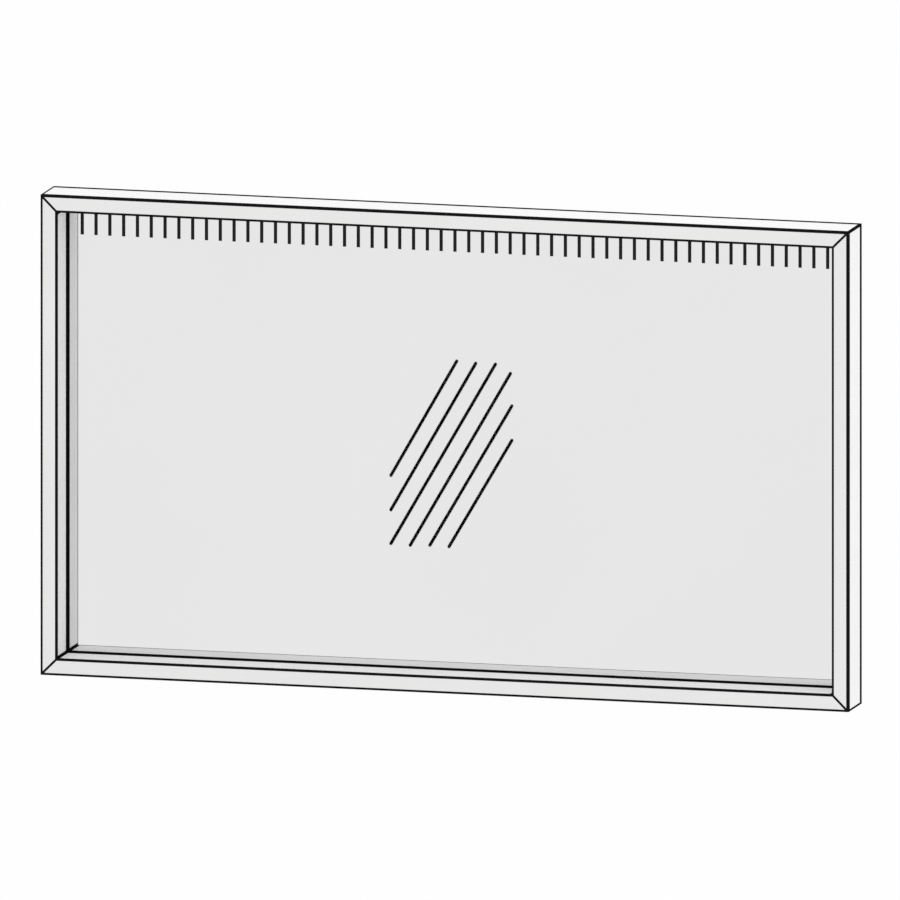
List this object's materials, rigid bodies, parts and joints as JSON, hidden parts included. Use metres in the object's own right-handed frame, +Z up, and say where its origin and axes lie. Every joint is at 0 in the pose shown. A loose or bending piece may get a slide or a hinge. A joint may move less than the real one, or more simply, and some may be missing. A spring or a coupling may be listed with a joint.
{
  "type": "lighted wall mirror",
  "caption": "Wide wall mirror in a deep mitred box frame, with a lamp in the top of the frame over a row of engraved lines, a rocker switch below, and an interlocking wall rail.",
  "frame": {"origin": "on the wall plane, at the middle of the line of screw holes in the wall rail", "axes": "+X to the viewer's right along the mirror's width, +Y from the room into the wall, +Z up"},
  "size_m": [1.2, 0.075, 0.7023],
  "materials": {
    "frame_coat": "satin white powder coat",
    "key_aluminium": "mill finish",
    "silvered_glass": "polished, silvered at the back",
    "line_enamel": "black enamel, satin",
    "black_rubber": "matte",
    "grey_foam": "closed-cell foam",
    "sheet_steel": "galvanised",
    "screw_steel": "zinc plated",
    "rail_aluminium": "mill finish",
    "white_board": "solder mask",
    "lamp_chip": "phosphor",
    "opal_lens": "opal diffuser",
    "white_plastic": "moulded",
    "driver_plastic": "moulded",
    "lead_sheath": "flexible sheath",
    "switch_plastic": "moulded, satin"
  },
  "bodies": {
    "wall_rail": {"wall_rail": "rail_aluminium"},
    "mirror": {"frame_top": "frame_coat", "frame_bottom": "frame_coat", "frame_left": "frame_coat", "frame_right": "frame_coat", "front_corner_keys": "key_aluminium", "rear_corner_keys": "key_aluminium", "mirror_glass": "silvered_glass", "engraved_line_fill": "line_enamel", "glazing_gasket": "black_rubber", "setting_blocks": "black_rubber", "backing_foam": "grey_foam", "back_panel": "sheet_steel", "panel_screws": "screw_steel", "hanging_rail": "rail_aluminium", "rail_screws": "screw_steel", "wall_bumpers": "black_rubber", "cable_grommet": "black_rubber", "lamp_channel": "key_aluminium", "lamp_board": "white_board", "lamp_chips": "lamp_chip", "lamp_lens": "opal_lens", "lamp_end_caps": "white_plastic", "driver_case": "driver_plastic", "driver_end_covers": "driver_plastic", "terminal_block": "white_plastic", "mounting_tape": "grey_foam", "mains_leads": "lead_sheath", "lamp_lead": "lead_sheath", "switch_lead": "lead_sheath", "lead_clips": "white_plastic", "switch_housing": "switch_plastic"},
    "switch_rocker": {"switch_rocker": "switch_plastic"}
  },
  "joints": [
    {"name": "mirror_lift", "type": "slide", "parent": "wall_rail", "child": "mirror", "axis": [0, 0, 1], "range_m": [0, 0.013]},
    {"name": "rocker_tilt", "type": "hinge", "parent": "mirror", "child": "switch_rocker", "pos_m": [0.5, -0.05175, -0.6365], "axis": [0, -1, 0], "range_deg": [0, 16]}
  ]
}
